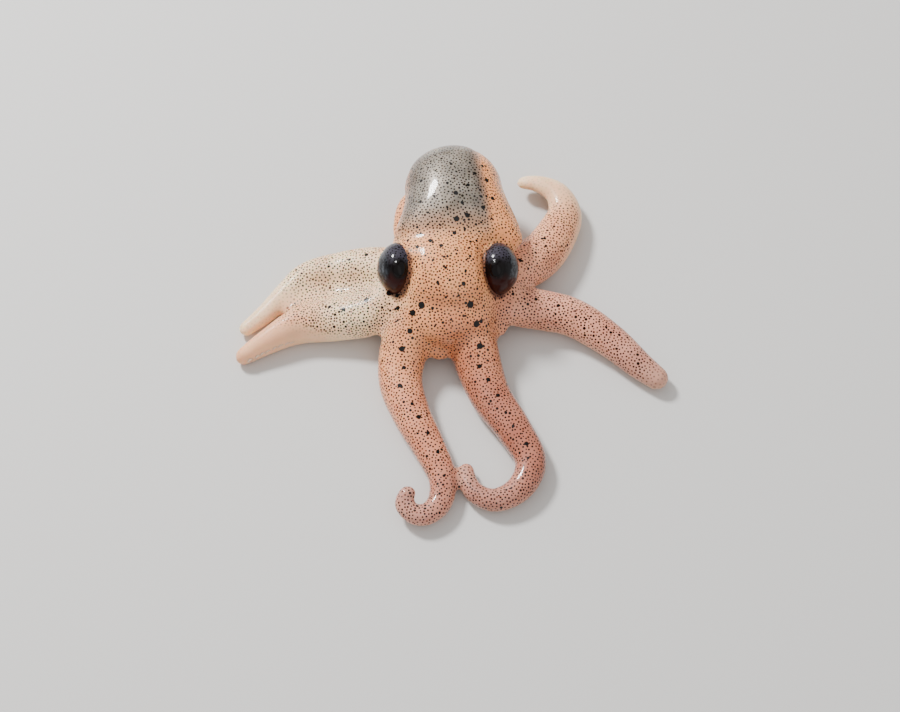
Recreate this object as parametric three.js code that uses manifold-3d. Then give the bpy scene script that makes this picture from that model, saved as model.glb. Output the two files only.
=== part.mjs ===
// A newly hatched octopus at rest: mantle, head, eyes, funnel, web and eight arms.
// Millimetres, +Z up. The animal faces -Y, so its own left side is +X.

import * as THREE from 'three';
import { mergeVertices } from 'three/addons/utils/BufferGeometryUtils.js';
import Module from 'manifold-3d';

const wasm = await Module();
wasm.setup();

// ---- driving dimensions ----

const GAP = 0.05;               // clearance between neighbouring parts
const WELD = 1e-4;              // vertices nearer than this are one

const MANTLE_LENGTH = 4.22;     // from the neck to the tip
const MANTLE_CAP = 1.75;        // length of the rounded tip, in plan
const MANTLE_RADIUS = 1.86;     // half width before the rounded tip
const MANTLE_FLARE_LEFT = 0.4;  // how much wider it is at the neck, on the animal's left
const MANTLE_FLARE_RIGHT = 0.8; // and on its right
const MANTLE_PEAK = 1.8;        // distance from the neck to where the back is highest
const MANTLE_OVER = 1.36;       // height there above the middle
const MANTLE_UNDER = 1.15;      // and depth below it
const MANTLE_NECK_DROP = 0.3;   // how much of that height the neck loses
const MANTLE_NECK = new THREE.Vector3(0.62, 0.95, 2.2);
const MANTLE_TILT = 3;          // degrees that the tip is raised
const MANTLE_TURN = 8;          // degrees that the tip leans to the animal's right
const MANTLE_COLUMNS = 20;
const MANTLE_ROWS = 10;
const MANTLE_CROWDING = 1.6;    // above 1, rows crowd towards the tip, where the outline turns

const HEAD_CENTRE = new THREE.Vector3(0.07, 0.05, 2.0);
const HEAD_SIZE = new THREE.Vector3(2.2, 2.15, 1.25);
const HEAD_GRID = [16, 10];     // columns and rows of faces
const CROWN_CENTRE = new THREE.Vector3(0.0, -0.65, 1.2);
const CROWN_SIZE = new THREE.Vector3(2.3, 2.05, 0.88);
const CROWN_GRID = [14, 7];
const BROW_CENTRE = new THREE.Vector3(0.03, -1.45, 1.55);
const BROW_SIZE = new THREE.Vector3(1.85, 1.55, 0.88);
const BROW_GRID = [12, 7];

const EYE_SIZE = new THREE.Vector3(0.75, 1.0, 0.94);
const EYE_OUT = 1.865;          // eye centre from the line midway between the eyes
const EYE_MIDDLE = new THREE.Vector3(0.075, -0.13, 2.12);
const EYE_GRID = [16, 10];

const SUCKER_HEIGHT = 0.11;     // the arms stand on their suckers
const SUCKER_RADIUS = 0.2;
const SUCKER_NECK = 0.7;        // radius where it joins the arm, over its rim's
const SUCKER_ROOT = 0.35;       // how far it reaches into the arm, over the arm's half width
const SUCKER_ROW = 0.34;        // how far it lies off the arm's middle, over the same
const SUCKER_LAST = 0.55;       // size at the arm's tip, over the size at its root
const SUCKERS = 9;              // along one arm, in a zigzag row
const SUCKERS_FROM = 0.16;      // share of the arm's length where they start
const SUCKERS_TO = 0.96;        // and end
const SUCKER_SIDES = 6;

const ARM_SIDES = 10;
const ARM_STEP = 0.75;          // length of one ring of an arm
const ARM_FLATNESS = 0.88;      // height over width
const ORAL_FLATNESS = 0.7;      // the underside is flatter than the back
const ORAL_SQUARE = 0.6;        // below 1, it is squarer too
const TIP_BLUNTNESS = 1.04;     // above 1, the rounded tip ends in a small flat
const TIP_RINGS = 2;            // the last length has this many rings more
const TIP_CROWDING = 1.35;      // above 1, they crowd towards the rounded tip
const ROOT_LIFT = 0.38;         // the arms rise where they meet the head
const ROOT_LENGTH = 2.6;        // the length over which they rise
const HEADING_STEP = 0.01;      // share of the length over which an arm's direction is taken

const WEB_SIZE = new THREE.Vector3(0.8, 0.8, 0.3);
const WEB_HEIGHT = 0.92;
const WEB_REACHES = [1.05];     // distances along the arms to the middles of a web panel
const LONG_WEB = 'right_3';     // the arm whose panel runs on between it and the next
const LONG_WEB_REACHES = [1, 2, 3, 3.9];
const WEB_GRID = [10, 6];

const FUNNEL_START = new THREE.Vector3(0.1, 2.9, 1.25);
const FUNNEL_END = new THREE.Vector3(0.1, 1.55, 0.66);
const FUNNEL_BASE_RADIUS = 0.5;
const FUNNEL_TIP_RADIUS = 0.3;
const FUNNEL_LIP = 0.1;         // length over which the tip's edge is rounded off
const FUNNEL_BORE_RADIUS = 0.16;
const FUNNEL_BORE_DEPTH = 0.5;
const FUNNEL_COLUMNS = 10;

// Each arm: points in plan from root to tip with an optional lift off the floor,
// half widths at root and tip, how late it tapers, and where it is divided.
const ARMS = {
  left_1: {
    route: [[0.75, -1.55], [1.2, -3.4], [1.65, -4.7], [2.48, -6.05], [3.08, -7.4],
      [2.62, -8.45], [1.7, -8.87], [0.94, -8.42], [0.64, -7.35]],
    root: 1.0, tip: 0.31, taper: 0.95, cuts: [0.3, 0.58, 0.79],
  },
  left_2: {
    route: [[1.55, -0.95], [2.9, -0.98], [4.6, -1.25], [6.1, -2.25], [7.3, -3.4], [8.18, -4.12]],
    root: 0.82, tip: 0.4, taper: 2.2, cuts: [0.36, 0.68],
  },
  left_3: {
    route: [[1.75, 0.2], [2.75, 0.65], [3.65, 1.45], [4.25, 2.4], [4.6, 3.4],
      [4.3, 4.25, 0.15], [3.55, 4.7, 0.25], [2.75, 4.8, 0.3]],
    root: 0.95, tip: 0.26, taper: 2.1, cuts: [0.4, 0.65, 0.83],
  },
  left_4: {
    route: [[0.8, 0.45], [1.3, 1.6], [1.75, 2.9], [1.5, 4.1], [0.72, 4.4], [0.5, 3.7], [0.95, 3.05]],
    root: 0.62, tip: 0.26, taper: 0.9, cuts: [0.36, 0.6, 0.8],
  },
  right_4: {
    route: [[-0.8, 0.45], [-1.25, 1.6], [-1.6, 2.9], [-1.35, 4.1], [-0.6, 4.4], [-0.42, 3.7], [-0.85, 3.05]],
    root: 0.62, tip: 0.26, taper: 0.9, cuts: [0.36, 0.6, 0.8],
  },
  right_3: {
    route: [[-1.75, 0.3], [-3.0, 0.7], [-4.2, 0.75], [-5.3, 0.5], [-6.0, -0.15],
      [-6.75, -0.95], [-7.75, -1.85]],
    root: 1.0, tip: 0.26, taper: 0.95, cuts: [0.36, 0.6, 0.8],
  },
  right_2: {
    route: [[-1.8, -0.85], [-2.8, -1.3], [-4.2, -1.45], [-5.6, -1.7], [-6.8, -2.35], [-7.85, -3.05]],
    root: 0.92, tip: 0.3, taper: 1.9, cuts: [0.36, 0.68],
  },
  right_1: {
    route: [[-1.0, -1.5], [-1.56, -2.85], [-1.68, -4.1], [-1.28, -5.4], [-0.58, -6.85], [-0.1, -8.1],
      [-0.3, -9.1], [-0.95, -9.5, 0.05], [-1.5, -9.1, 0.2], [-1.2, -8.5, 0.45]],
    root: 1.02, tip: 0.3, taper: 0.95, cuts: [0.3, 0.58, 0.8],
  },
};

// ---- colours ----

const finish = (color, roughness) => new THREE.MeshStandardMaterial({ color, roughness, metalness: 0 });
const FLESH = { mantle: 0xb5a390, head: 0xdcab85, web: 0xe0b294, arm: 0xe2c0a4, funnel: 0xe6c8ae };
const EYE_COLOUR = 0x17151c;
const WET = 0.25;

// ---- solids ----

// A solid for joining and cutting, from a closed geometry. Triangles that have
// shrunk to a line at a pole are dropped.
function toSolid(geometry) {
  const bare = geometry.clone();
  bare.deleteAttribute('normal');
  bare.deleteAttribute('uv');
  const welded = mergeVertices(bare, WELD);
  const corners = welded.index.array;
  const triangles = [];
  for (let i = 0; i < corners.length; i += 3) {
    const [a, b, c] = [corners[i], corners[i + 1], corners[i + 2]];
    if (a !== b && b !== c && c !== a) {
      triangles.push(a, b, c);
    }
  }
  return new wasm.Manifold(new wasm.Mesh({
    numProp: 3,
    vertProperties: welded.attributes.position.array,
    triVerts: Uint32Array.from(triangles),
  }));
}

// What is left of a solid after its cuts, without loose slivers.
function largestPiece(solid) {
  const pieces = solid.decompose();
  pieces.sort((a, b) => b.volume() - a.volume());
  return pieces[0];
}

function toMesh(name, solid, material) {
  const { vertProperties, triVerts } = solid.getMesh();
  const geometry = new THREE.BufferGeometry();
  geometry.setAttribute('position', new THREE.BufferAttribute(Float32Array.from(vertProperties), 3));
  geometry.setIndex(new THREE.BufferAttribute(Uint32Array.from(triVerts), 1));
  geometry.computeVertexNormals();
  const mesh = new THREE.Mesh(geometry, material);
  mesh.name = name;
  return mesh;
}

const smooth = (x) => THREE.MathUtils.smoothstep(x, 0, 1);

function ellipsoid(centre, size, grow, [columns, rows]) {
  const geometry = new THREE.SphereGeometry(1, columns, rows);
  geometry.scale(size.x + grow, size.y + grow, size.z + grow);
  geometry.translate(centre.x, centre.y, centre.z);
  return toSolid(geometry);
}

// ---- mantle ----

// Half width on one side and height or depth at a distance from the neck.
function mantleHalves(along, isLeft, isBack) {
  const beyond = THREE.MathUtils.clamp((along - MANTLE_LENGTH) / MANTLE_CAP + 1, 0, 1);
  const nearNeck = 1 - smooth(along / (MANTLE_LENGTH - MANTLE_CAP));
  const flare = isLeft ? MANTLE_FLARE_LEFT : MANTLE_FLARE_RIGHT;
  const width = (MANTLE_RADIUS + flare * nearNeck) * Math.sqrt(1 - beyond ** 2);
  const behind = THREE.MathUtils.clamp((along - MANTLE_PEAK) / (MANTLE_LENGTH - MANTLE_PEAK), 0, 1);
  const before = THREE.MathUtils.clamp((MANTLE_PEAK - along) / MANTLE_PEAK, 0, 1);
  const full = isBack ? MANTLE_OVER : MANTLE_UNDER;
  const height = full * Math.sqrt(1 - behind ** 2) * (1 - MANTLE_NECK_DROP * before ** 2);
  return { width, height };
}

function mantleSolid(grow) {
  const profile = [new THREE.Vector2(0, -grow)];
  for (let i = 0; i < MANTLE_ROWS; i += 1) {
    const fromTip = MANTLE_LENGTH * (1 - i / MANTLE_ROWS) ** MANTLE_CROWDING;
    profile.push(new THREE.Vector2(1, i === 0 ? -grow : MANTLE_LENGTH - fromTip));
  }
  profile.push(new THREE.Vector2(0, MANTLE_LENGTH + grow));
  const geometry = new THREE.LatheGeometry(profile, MANTLE_COLUMNS);
  const points = geometry.attributes.position;
  for (let i = 0; i < points.count; i += 1) {
    const { width, height } = mantleHalves(points.getY(i), points.getX(i) > 0, points.getZ(i) > 0);
    points.setX(i, points.getX(i) * (width + grow));
    points.setZ(i, points.getZ(i) * (height + grow));
  }
  geometry.rotateX(THREE.MathUtils.degToRad(MANTLE_TILT));
  geometry.rotateZ(THREE.MathUtils.degToRad(MANTLE_TURN));
  geometry.translate(MANTLE_NECK.x, MANTLE_NECK.y, MANTLE_NECK.z);
  return toSolid(geometry);
}

// ---- eyes ----

function eyeSolid(side, grow) {
  const centre = EYE_MIDDLE.clone();
  centre.x += side * EYE_OUT;
  return ellipsoid(centre, EYE_SIZE, grow, EYE_GRID);
}

// ---- arms ----

class Arm {
  constructor({ route, root, tip, taper, cuts }) {
    this.root = root;
    this.tip = tip;
    this.taper = taper;
    this.cuts = cuts;
    const lifts = route.map(([, , lift = 0]) => lift);
    this.plan = new THREE.CatmullRomCurve3(
      route.map(([x, y], i) => new THREE.Vector3(x, y, lifts[i])), false, 'centripetal');
    this.length = this.plan.getLength();
  }

  // The half width without the rounding of the tip.
  fullWidth(along) {
    return THREE.MathUtils.lerp(this.root, this.tip, along ** this.taper);
  }

  halfWidth(along) {
    const round = 1 - this.tip / this.length;
    if (along < round) {
      return this.fullWidth(along);
    }
    const beyond = (along - round) / (1 - round);
    return this.fullWidth(along) * Math.sqrt(TIP_BLUNTNESS - beyond ** 2);
  }

  // The middle line lies half an arm above the tops of the suckers.
  centre(along) {
    const point = this.plan.getPointAt(along);
    const nearRoot = 1 - smooth(along * this.length / ROOT_LENGTH);
    point.z += SUCKER_HEIGHT + this.fullWidth(along) * ARM_FLATNESS * ORAL_FLATNESS;
    point.z += ROOT_LIFT * nearRoot;
    return point;
  }

  axes(along) {
    const before = this.centre(Math.max(0, along - HEADING_STEP));
    const after = this.centre(Math.min(1, along + HEADING_STEP));
    const forward = after.sub(before).normalize();
    const up = new THREE.Vector3(0, 0, 1);
    up.addScaledVector(forward, -up.dot(forward)).normalize();
    const aside = new THREE.Vector3().crossVectors(forward, up);
    return { forward, up, aside };
  }

  // The stretch between two shares of the length, as a closed tapered tube.
  tube(from, to, grow) {
    const rings = Math.round((to - from) * this.length / ARM_STEP) + (to === 1 ? TIP_RINGS : 0);
    const geometry = new THREE.CylinderGeometry(1, 1, 1, ARM_SIDES, rings);
    const points = geometry.attributes.position;
    const offset = new THREE.Vector3();
    for (let i = 0; i < points.count; i += 1) {
      const step = points.getY(i) + 0.5;
      const share = to === 1 ? 1 - (1 - step) ** TIP_CROWDING : step;
      const along = from + (to - from) * share;
      const { up, aside } = this.axes(along);
      const width = this.halfWidth(along) + grow;
      const rise = points.getZ(i);
      const height = rise < 0 ? -ORAL_FLATNESS * (-rise) ** ORAL_SQUARE : rise;
      offset.copy(this.centre(along));
      offset.addScaledVector(aside, points.getX(i) * width);
      offset.addScaledVector(up, height * width * ARM_FLATNESS);
      points.setXYZ(i, offset.x, offset.y, offset.z);
    }
    return toSolid(geometry);
  }

  // Suckers alternate from side to side and end at one level under the arm.
  sucker(index) {
    const along = THREE.MathUtils.lerp(SUCKERS_FROM, SUCKERS_TO, index / (SUCKERS - 1));
    const side = index % 2 === 0 ? 1 : -1;
    const radius = SUCKER_RADIUS * THREE.MathUtils.lerp(1, SUCKER_LAST, along);
    const { aside } = this.axes(along);
    const width = this.halfWidth(along);
    const place = this.centre(along).addScaledVector(aside, side * width * SUCKER_ROW);
    const under = place.z - width * ARM_FLATNESS * ORAL_FLATNESS - SUCKER_HEIGHT;
    const height = SUCKER_HEIGHT + width * SUCKER_ROOT;
    const geometry = new THREE.CylinderGeometry(radius * SUCKER_NECK, radius, height, SUCKER_SIDES);
    geometry.rotateX(Math.PI / 2);
    geometry.translate(place.x, place.y, Math.max(under, 0) + height / 2);
    return { along, solid: toSolid(geometry) };
  }

  // The lengths of the arm, each with the suckers that grow from it.
  lengths() {
    const half = GAP / 2 / this.length;
    const ends = [0, ...this.cuts, 1];
    const suckers = [...Array(SUCKERS).keys()].map((index) => this.sucker(index));
    return ends.slice(1).map((to, i) => {
      const from = ends[i] + (i === 0 ? 0 : half);
      const until = to === 1 ? 1 : to - half;
      const edge = SUCKER_RADIUS / this.length;
      let solid = this.tube(from, until, 0);
      for (const sucker of suckers) {
        if (sucker.along > from + edge && sucker.along < until - edge / 2) {
          solid = solid.add(sucker.solid);
        }
      }
      return solid;
    });
  }
}

const arms = Object.entries(ARMS).map(([name, shape]) => ({ name, arm: new Arm(shape) }));
const armRoots = arms.map(({ arm }) => arm.tube(0, arm.cuts[0], GAP));

// ---- head ----

function headSolid(grow) {
  const skull = ellipsoid(HEAD_CENTRE, HEAD_SIZE, grow, HEAD_GRID);
  const brow = ellipsoid(BROW_CENTRE, BROW_SIZE, grow, BROW_GRID);
  return skull.add(ellipsoid(CROWN_CENTRE, CROWN_SIZE, grow, CROWN_GRID)).add(brow);
}

// ---- web ----

// One panel of the web, between an arm and the next.
function webSolid(first, second, reaches) {
  const cushions = reaches.map((reach) => {
    const near = first.centre(reach / first.length);
    const far = second.centre(reach / second.length);
    const middle = near.add(far).multiplyScalar(0.5);
    middle.z = Math.min(WEB_HEIGHT, middle.z);
    return ellipsoid(middle, WEB_SIZE, 0, WEB_GRID);
  });
  return cushions.reduce((panel, cushion) => panel.add(cushion));
}

// ---- funnel ----

// A tapered cup: its bore opens at the free end.
function funnelSolid() {
  const axis = FUNNEL_END.clone().sub(FUNNEL_START);
  const length = axis.length();
  const profile = [
    [0, 0],
    [FUNNEL_BASE_RADIUS, 0],
    [FUNNEL_TIP_RADIUS, length - FUNNEL_LIP],
    [FUNNEL_TIP_RADIUS - FUNNEL_LIP / 2, length],
    [FUNNEL_BORE_RADIUS, length],
    [FUNNEL_BORE_RADIUS, length - FUNNEL_BORE_DEPTH],
    [0, length - FUNNEL_BORE_DEPTH],
  ].map(([x, y]) => new THREE.Vector2(x, y));
  const geometry = new THREE.LatheGeometry(profile, FUNNEL_COLUMNS);
  const turn = new THREE.Quaternion().setFromUnitVectors(new THREE.Vector3(0, 1, 0), axis.normalize());
  geometry.applyQuaternion(turn);
  geometry.translate(FUNNEL_START.x, FUNNEL_START.y, FUNNEL_START.z);
  return toSolid(geometry);
}

// ---- the animal ----

const group = new THREE.Group();
const place = (name, solid, color, roughness = WET) => {
  group.add(toMesh(name, solid, finish(color, roughness)));
};

const eyeHoles = eyeSolid(1, GAP).add(eyeSolid(-1, GAP));
const mantle = mantleSolid(0).subtract(eyeHoles);
place('mantle', largestPiece(mantle), FLESH.mantle);
place('eye_left', eyeSolid(1, 0), EYE_COLOUR, 0.08);
place('eye_right', eyeSolid(-1, 0), EYE_COLOUR, 0.08);

let head = headSolid(0).subtract(eyeHoles).subtract(mantleSolid(GAP));
for (const root of armRoots) {
  head = head.subtract(root);
}
place('head', largestPiece(head), FLESH.head);

const bodyHole = headSolid(GAP).add(mantleSolid(GAP));
const outside = mantleSolid(GAP).add(eyeHoles);
arms.forEach(({ name, arm }, i) => {
  arm.lengths().forEach((length, j) => {
    let solid = length;
    if (j === 0) {
      solid = solid.subtract(outside);
      for (const earlier of armRoots.slice(0, i)) {
        solid = solid.subtract(earlier);
      }
    }
    place(`arm_${name}_${j + 1}`, largestPiece(solid), FLESH.arm);
  });
});

// The web runs round from arm to arm, except between the last pair, by the funnel.
arms.forEach(({ name, arm }, i) => {
  if (name === 'left_4') {
    return;
  }
  const next = arms[(i + 1) % arms.length];
  const reaches = name === LONG_WEB ? LONG_WEB_REACHES : WEB_REACHES;
  let panel = webSolid(arm, next.arm, reaches).subtract(bodyHole).subtract(eyeHoles);
  for (const root of [...armRoots, arm.tube(0, 1, GAP), next.arm.tube(0, 1, GAP)]) {
    panel = panel.subtract(root);
  }
  place(`web_${name}`, largestPiece(panel), FLESH.web);
});

place('funnel', largestPiece(funnelSolid().subtract(bodyHole)), FLESH.funnel);

// The origin is the middle of the animal's outline, on the floor.
const bounds = new THREE.Box3().setFromObject(group);
const middle = bounds.getCenter(new THREE.Vector3());
group.position.set(-middle.x, -middle.y, -bounds.min.z);

export default group;
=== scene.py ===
import math

import bpy
import numpy as np
from bpy.props import FloatProperty, FloatVectorProperty, IntProperty, PointerProperty
from mathutils import Matrix, Vector
from mathutils.bvhtree import BVHTree
from mathutils.kdtree import KDTree


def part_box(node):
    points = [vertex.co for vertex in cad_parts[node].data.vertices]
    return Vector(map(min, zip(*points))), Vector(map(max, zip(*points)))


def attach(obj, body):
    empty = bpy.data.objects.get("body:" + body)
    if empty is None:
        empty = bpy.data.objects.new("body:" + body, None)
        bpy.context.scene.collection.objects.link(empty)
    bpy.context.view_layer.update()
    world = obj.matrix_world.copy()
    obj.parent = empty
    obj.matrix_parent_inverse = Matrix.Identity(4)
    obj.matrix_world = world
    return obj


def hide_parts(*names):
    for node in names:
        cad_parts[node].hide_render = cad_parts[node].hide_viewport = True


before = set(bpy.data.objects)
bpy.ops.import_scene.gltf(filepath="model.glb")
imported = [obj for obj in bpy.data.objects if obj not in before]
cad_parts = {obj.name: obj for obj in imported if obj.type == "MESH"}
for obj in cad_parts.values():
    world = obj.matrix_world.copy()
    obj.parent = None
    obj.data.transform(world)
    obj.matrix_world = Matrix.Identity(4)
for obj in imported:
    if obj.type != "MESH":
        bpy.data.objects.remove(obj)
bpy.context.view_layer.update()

bl_info = {
    "name": "Octopus hatchling",
    "version": (1, 0, 0),
    "blender": (4, 5, 0),
    "location": "3D View > Sidebar > Octopus",
    "description": "A newly hatched octopus at rest, with wet dotted skin",
    "category": "Object",
}

MM = 0.001

# Pieces are modelled in millimetres, standing on the floor with the head near
# the middle, and are brought to the frame's metres when they are finished.
EYE_MIDDLE = (0.075, -0.13, 2.12)
EYE_OUT = 1.865
EYE_SIZE = (0.75, 1.0, 0.94)
_left, _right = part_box("eye_left"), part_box("eye_right")
_middle = (_left[0] + _left[1] + _right[0] + _right[1]) / 4
ORIGIN = Vector((_middle.x - EYE_MIDDLE[0] * MM, _middle.y - EYE_MIDDLE[1] * MM, 0.0))

# Arm routes in plan, with an optional lift, from root to tip; half widths; how
# late the arm tapers; and how far its underside turns to one side, in degrees.
ARMS = {
    "left_1": dict(
        route=[(0.75, -1.55), (1.2, -3.4), (1.65, -4.7), (2.48, -6.05), (3.08, -7.4),
               (2.62, -8.45), (1.7, -8.87), (0.94, -8.42), (0.64, -7.35)],
        root=1.0, tip=0.31, taper=0.95, roll=0),
    "left_2": dict(
        route=[(1.55, -0.95), (2.9, -0.98), (4.6, -1.25), (6.1, -2.25), (7.3, -3.4), (8.18, -4.12)],
        root=0.82, tip=0.4, taper=2.2, roll=0),
    "left_3": dict(
        route=[(1.75, 0.2), (2.75, 0.65), (3.65, 1.45), (4.25, 2.4), (4.6, 3.4),
               (4.3, 4.25, 0.15), (3.55, 4.7, 0.25), (2.75, 4.8, 0.3)],
        root=0.95, tip=0.26, taper=2.1, roll=-40),
    "left_4": dict(
        route=[(0.8, 0.45), (1.3, 1.6), (1.75, 2.9), (1.5, 4.1), (0.72, 4.4), (0.5, 3.7),
               (0.95, 3.05)],
        root=0.62, tip=0.26, taper=0.9, roll=0),
    "right_4": dict(
        route=[(-0.8, 0.45), (-1.25, 1.6), (-1.6, 2.9), (-1.35, 4.1), (-0.6, 4.4), (-0.42, 3.7),
               (-0.85, 3.05)],
        root=0.62, tip=0.26, taper=0.9, roll=0),
    "right_3": dict(
        route=[(-1.75, 0.3), (-3.0, 0.7), (-4.2, 0.75), (-5.3, 0.5), (-6.0, -0.15),
               (-6.75, -0.95), (-7.75, -1.85)],
        root=1.0, tip=0.26, taper=0.95, roll=0),
    "right_2": dict(
        route=[(-1.8, -0.85), (-2.8, -1.3), (-4.2, -1.45), (-5.6, -1.7), (-6.8, -2.35),
               (-7.85, -3.05)],
        root=0.92, tip=0.3, taper=1.9, roll=75),
    "right_1": dict(
        route=[(-1.0, -1.5), (-1.56, -2.85), (-1.68, -4.1), (-1.28, -5.4), (-0.58, -6.85),
               (-0.1, -8.1), (-0.3, -9.1), (-0.95, -9.5, 0.05), (-1.5, -9.1, 0.2),
               (-1.2, -8.5, 0.45)],
        root=1.02, tip=0.3, taper=0.95, roll=0),
}
ARM_FLATNESS = 0.88
ORAL_FLATNESS = 0.7
ORAL_SQUARE = 0.6
TIP_BLUNTNESS = 1.003
ROOT_LIFT = 0.38
ROOT_LENGTH = 2.6
ROLL_FROM, ROLL_TO = 0.3, 0.8
SUCKER_HEIGHT = 0.11
ARM_SAMPLES = 90

MANTLE_LENGTH = 4.24
MANTLE_CAP = 1.75
MANTLE_RADIUS = 1.86
MANTLE_FLARE_LEFT, MANTLE_FLARE_RIGHT = 0.4, 0.8
MANTLE_PEAK = 1.8
MANTLE_OVER = 1.36
MANTLE_UNDER = 1.15
MANTLE_NECK_DROP = 0.3
MANTLE_NECK = (0.62, 0.95, 2.2)
MANTLE_TILT = 3
MANTLE_TURN = 8
HEAD_CENTRE, HEAD_SIZE = (0.07, 0.05, 2.0), (2.2, 2.15, 1.25)
CROWN_CENTRE, CROWN_SIZE = (0.0, -0.65, 1.2), (2.3, 2.05, 0.88)
BROW_CENTRE, BROW_SIZE = (0.03, -1.45, 1.55), (1.85, 1.55, 0.88)
WEB_SIZE = (0.8, 0.8, 0.3)
WEB_HEIGHT = 0.92
WEB_DROP = 0.08
WEB_REACHES = {"right_3": (1.0, 2.0, 3.0, 3.9), "right_1": (0.6, 1.05)}
USUAL_WEB_REACH = (0.8,)
# Half width of the silver sac at the neck on the animal's left, how much of it is
# lost in each length towards the tip, and how far the wall beside it lies lower.
SAC_SIDE, SAC_SLANT = 1.87, 0.17
WALL_DROP = 0.05
FUNNEL_START, FUNNEL_END = Vector((0.1, 2.9, 1.25)), Vector((0.1, 1.55, 0.66))

# How deep a face must lie in a hollow to count as a crease, how far round it and how
# often a crease is smoothed, and the lowest that skin may hang over the floor.
CREASE_DEPTH = 0.0012
CREASE_SMOOTHING = ((12, 160), (6, 60))
LOWEST_SKIN = 0.03

# The eye looks out sideways and a little up. Its lid opens this far round that way.
EYE_TILT_LEFT, EYE_TILT_RIGHT = 41.5, 37.5
LID_OPENING_LEFT, LID_OPENING_RIGHT = 87, 80
LID_THICKNESS = 0.025
# In shares of the eye's size: how deep skin in front of an eye is sunk, how far the
# socket may rise off the eye, and between which distances skin is still drawn to it.
SUNK_SKIN = 0.9
SOCKET_RISE = 0.6
SOCKET_PULL = (1.3, 1.6)
SOCKET_REACH = 1.7
# In degrees beyond the opening: where the lid's edge starts and ends, and how far
# round the eye the socket widens.
LID_EDGE = (-5, 2)
SOCKET_WIDTH = 26
# The dark lens bulges on the front of the eye, a little towards the middle.
LENS_WAY = (-0.1, -0.5, 0.86)
LENS_ANGLE = 19
LENS_RISE = 0.05
# The outer side of the eye is raised a little, with a slit pupil sunk in it: half
# the pupil's length and half its height, as a colour and as a groove.
CORNEA_RISE = 0.035
PUPIL_SIZE = (0.4, 0.13)
PUPIL_GROOVE = (0.42, 0.12)
PUPIL_DEPTH = 0.03
EYE_DOT_GAP, EYE_DOT_RADIUS = 0.1, 0.034
EYE_CUTS = 47

# Flesh tones along each arm, from root to tip; the body's is peach.
ARM_TONES = {
    "left_1": ("ember", "rose", "rose", "mauve"),
    "left_2": ("sand", "sand", "mauve"),
    "left_3": ("sand", "apricot", "cream"),
    "left_4": ("peach", "apricot"),
    "right_4": ("peach", "apricot"),
    "right_3": ("cream", "cream"),
    "right_2": ("cream", "cream", "apricot", "apricot"),
    "right_1": ("peach", "pink", "brick", "mauve"),
}

# Large pigment spots: a pair on the brow and one on the back of the mantle, as how
# far out, how far back and radius. The lesser ones round them are scattered.
BROW_SPOT = (0.9, -1.85, 0.135)
BACK_SPOT = (0.4, 1.3, 0.11)
LESSER_SPOT_GAP = 0.42
LESSER_SPOT_TRIES = 600
LESSER_SPOT_RADII = (0.045, 0.095)
# Fine dots: random places tried for each that is kept, least and greatest size, and
# the share of dots that is bigger, and by how much.
TRIES_FOR_A_PLACE = 3.5
DOT_SIZES = (0.8, 1.15)
BIG_DOT_SHARE, BIG_DOT_SIZE = 0.05, 1.5
# The row of spots down an arm: where it starts and ends along the arm, and radius.
SPOT_ROWS = {
    "left_1": (0.09, 0.8, 0.09), "right_1": (0.06, 0.78, 0.09), "left_2": (0.12, 0.7, 0.065),
    "right_2": (0.06, 0.5, 0.075), "right_3": (0.06, 0.45, 0.075), "left_3": (0.15, 0.4, 0.06),
}
# Where dots fade out towards an arm's tip: from this share of its length to that one.
USUAL_CLEARING = (0.5, 0.8)
LATE_CLEARING = {"left_2": (0.75, 1.1), "right_1": (0.8, 1.4), "left_1": (0.75, 1.4)}
FRONT_ARMS = ("left_1", "right_1")
PALE_ARMS = ("right_2", "right_3")

# Tones that are the same in every skin: the rim of a lid, what the cloudy patches
# are multiplied by, and the pupil.
LID_RIM = (0.05, 0.012, 0.012)
CLOUDING = (0.80, 0.72, 0.70)
BLACK = (0.0, 0.0, 0.0)

# A sucker's outline from its foot in the arm to the floor and up into its cup, as
# (radius, height), where 1 is its radius and its whole height.
SUCKER_OUTLINE = [
    (0, 1.0), (0.8, 1.0), (0.88, 0.3), (1.0, 0.1), (0.84, 0.0), (0.45, 0.3), (0, 0.44),
]
SUCKER_SIDES = 8
SUCKER_DEPTH = 2.2 * SUCKER_HEIGHT
SUCKERS_FROM, SUCKERS_OVER, SUCKERS_CROWDING = 0.12, 0.81, 0.85

# The studio: where the camera aims, and each lamp's name, direction, size in metres
# and power in watts. The lamps stand at one distance from the animal.
AIM = (0.15, -3.24, 1.0)
LAMP_DISTANCE = 0.13
LAMPS = (
    ("key", (-0.49, 0.51, 0.71), 0.026, 0.28),
    ("glow", (-0.42, 0.60, 0.66), 0.20, 0.09),
    ("fill", (0.75, -0.35, 0.8), 0.26, 0.10),
    ("front", (-0.3, -0.9, 0.8), 0.26, 0.09),
)


# ---- settings ----

def colour(name, description, value):
    return FloatVectorProperty(
        name=name, description=description, subtype="COLOR", size=3, min=0, max=1, default=value)


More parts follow.
